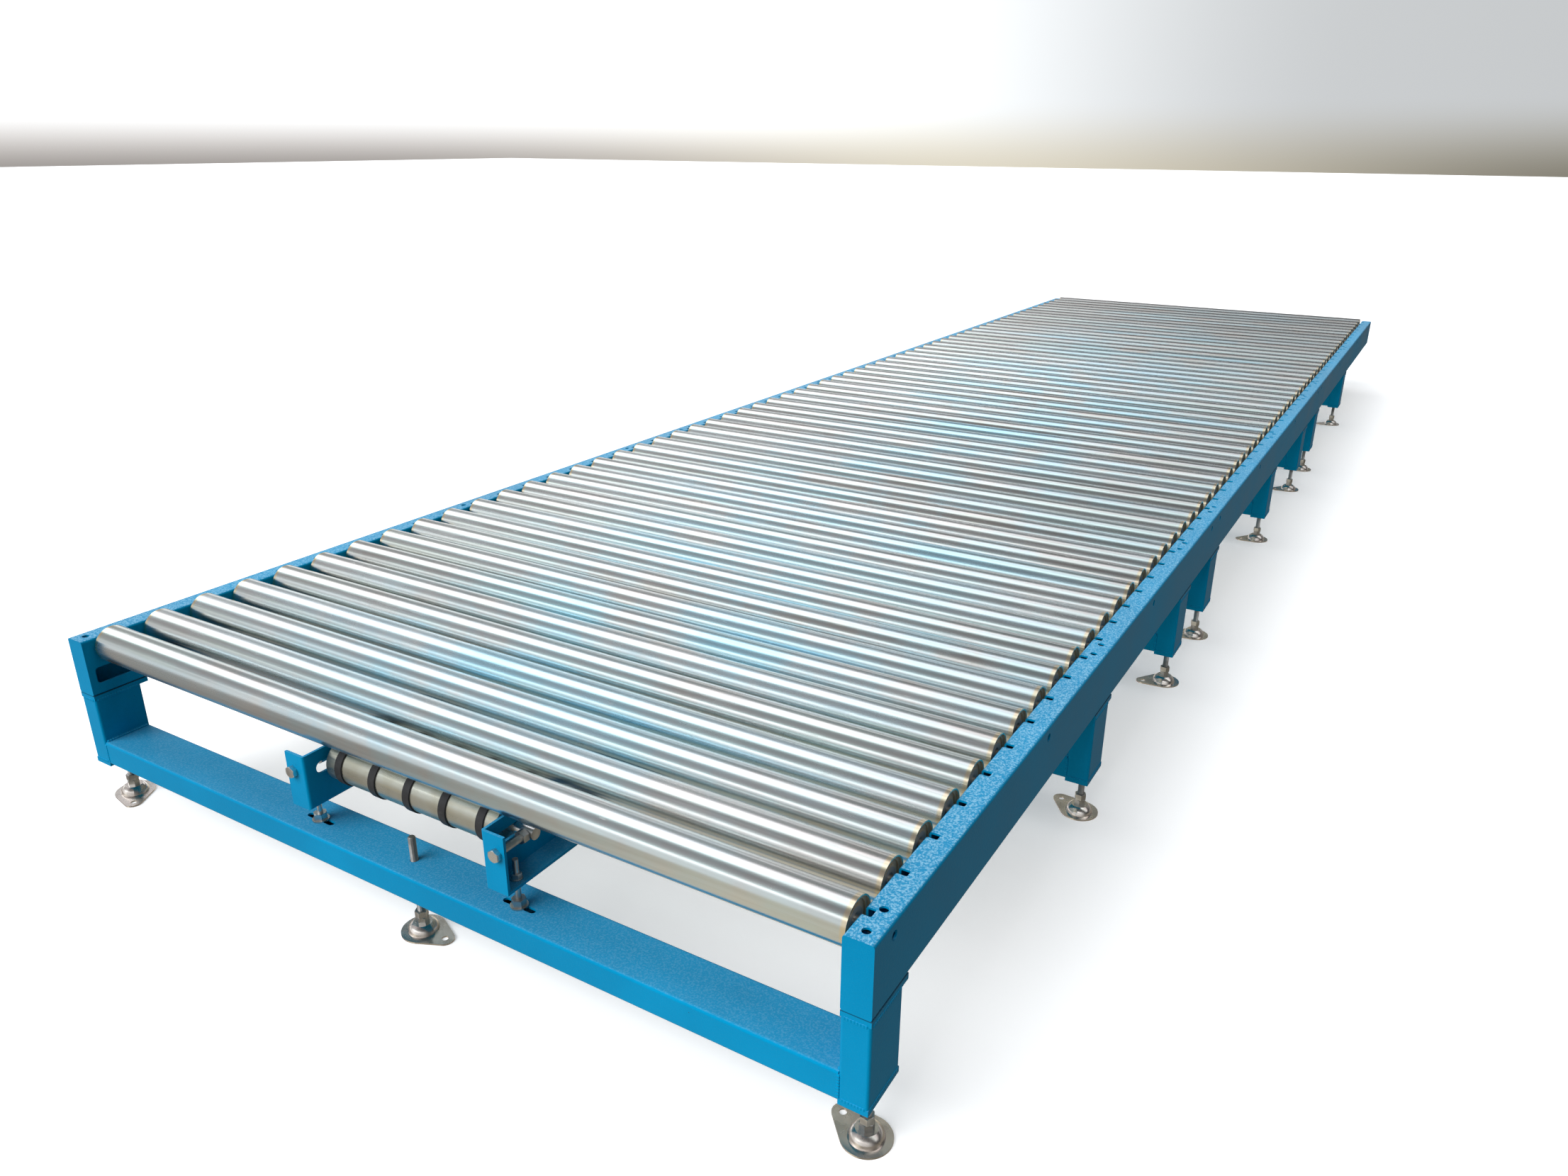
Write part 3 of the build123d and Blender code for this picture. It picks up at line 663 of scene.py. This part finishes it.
class CONVEYOR_OT_stage(bpy.types.Operator):
    """Lay the floor and set up the lights and the camera"""
    bl_idname = "conveyor.stage"
    bl_label = "Studio"

    def execute(self, context):
        scene = context.scene
        studio = scene.conveyor_studio
        bm = bmesh.new()
        bmesh.ops.create_grid(bm, x_segments=1, y_segments=1, size=FLOOR_HALF)
        mesh = bpy.data.meshes.new("floor")
        bm.to_mesh(mesh)
        bm.free()
        mesh.materials.append(floor_finish())
        floor = bpy.data.objects.new("floor", mesh)
        scene.collection.objects.link(floor)
        # The floor is seen but lights nothing: the light from below comes from the world
        for ray in ("diffuse", "glossy", "shadow"):
            setattr(floor, f"visible_{ray}", False)
        scene.world = bpy.data.worlds.new("Daylight")
        daylight(scene.world, studio.daylight)
        data = bpy.data.lights.new("key", "SUN")
        data.energy = studio.key
        data.angle = studio.softness
        light = bpy.data.objects.new("key", data)
        light.rotation_euler = Vector(studio.key_from).to_track_quat("Z", "Y").to_euler()
        light.visible_glossy = False
        scene.collection.objects.link(light)
        data = bpy.data.cameras.new("camera")
        data.lens = studio.lens
        data.sensor_width = SENSOR_WIDTH
        data.clip_end = VIEW_DEPTH
        camera = bpy.data.objects.new("camera", data)
        camera.location = studio.camera_place
        camera.rotation_euler = studio.camera_turn
        scene.collection.objects.link(camera)
        scene.camera = camera
        scene.view_settings.view_transform = "Standard"
        return {"FINISHED"}


STEPS = (CONVEYOR_OT_frame, CONVEYOR_OT_welds, CONVEYOR_OT_rollers, CONVEYOR_OT_idler,
         CONVEYOR_OT_fasteners, CONVEYOR_OT_feet, CONVEYOR_OT_stage)


class CONVEYOR_PT_sidebar(bpy.types.Panel):
    """Lists the conveyor's steps and settings"""
    bl_idname = "CONVEYOR_PT_sidebar"
    bl_label = "Roller conveyor"
    bl_space_type = "VIEW_3D"
    bl_region_type = "UI"
    bl_category = "Conveyor"

    def draw(self, context):
        for step in STEPS:
            self.layout.operator(step.bl_idname)
        for group in (context.scene.conveyor_finish, context.scene.conveyor_detail,
                      context.scene.conveyor_studio):
            box = self.layout.box()
            for key in group.__annotations__:
                box.prop(group, key)


CLASSES = (ConveyorFinish, ConveyorDetail, ConveyorStudio, *STEPS, CONVEYOR_PT_sidebar)


def register():
    for item in CLASSES:
        bpy.utils.register_class(item)
    bpy.types.Scene.conveyor_finish = bpy.props.PointerProperty(type=ConveyorFinish)
    bpy.types.Scene.conveyor_detail = bpy.props.PointerProperty(type=ConveyorDetail)
    bpy.types.Scene.conveyor_studio = bpy.props.PointerProperty(type=ConveyorStudio)


def unregister():
    del bpy.types.Scene.conveyor_studio
    del bpy.types.Scene.conveyor_detail
    del bpy.types.Scene.conveyor_finish
    for item in reversed(CLASSES):
        bpy.utils.unregister_class(item)


def main():
    register()
    for step in STEPS:
        group, name = step.bl_idname.split(".")
        getattr(getattr(bpy.ops, group), name)()


if __name__ == "__main__":
    main()
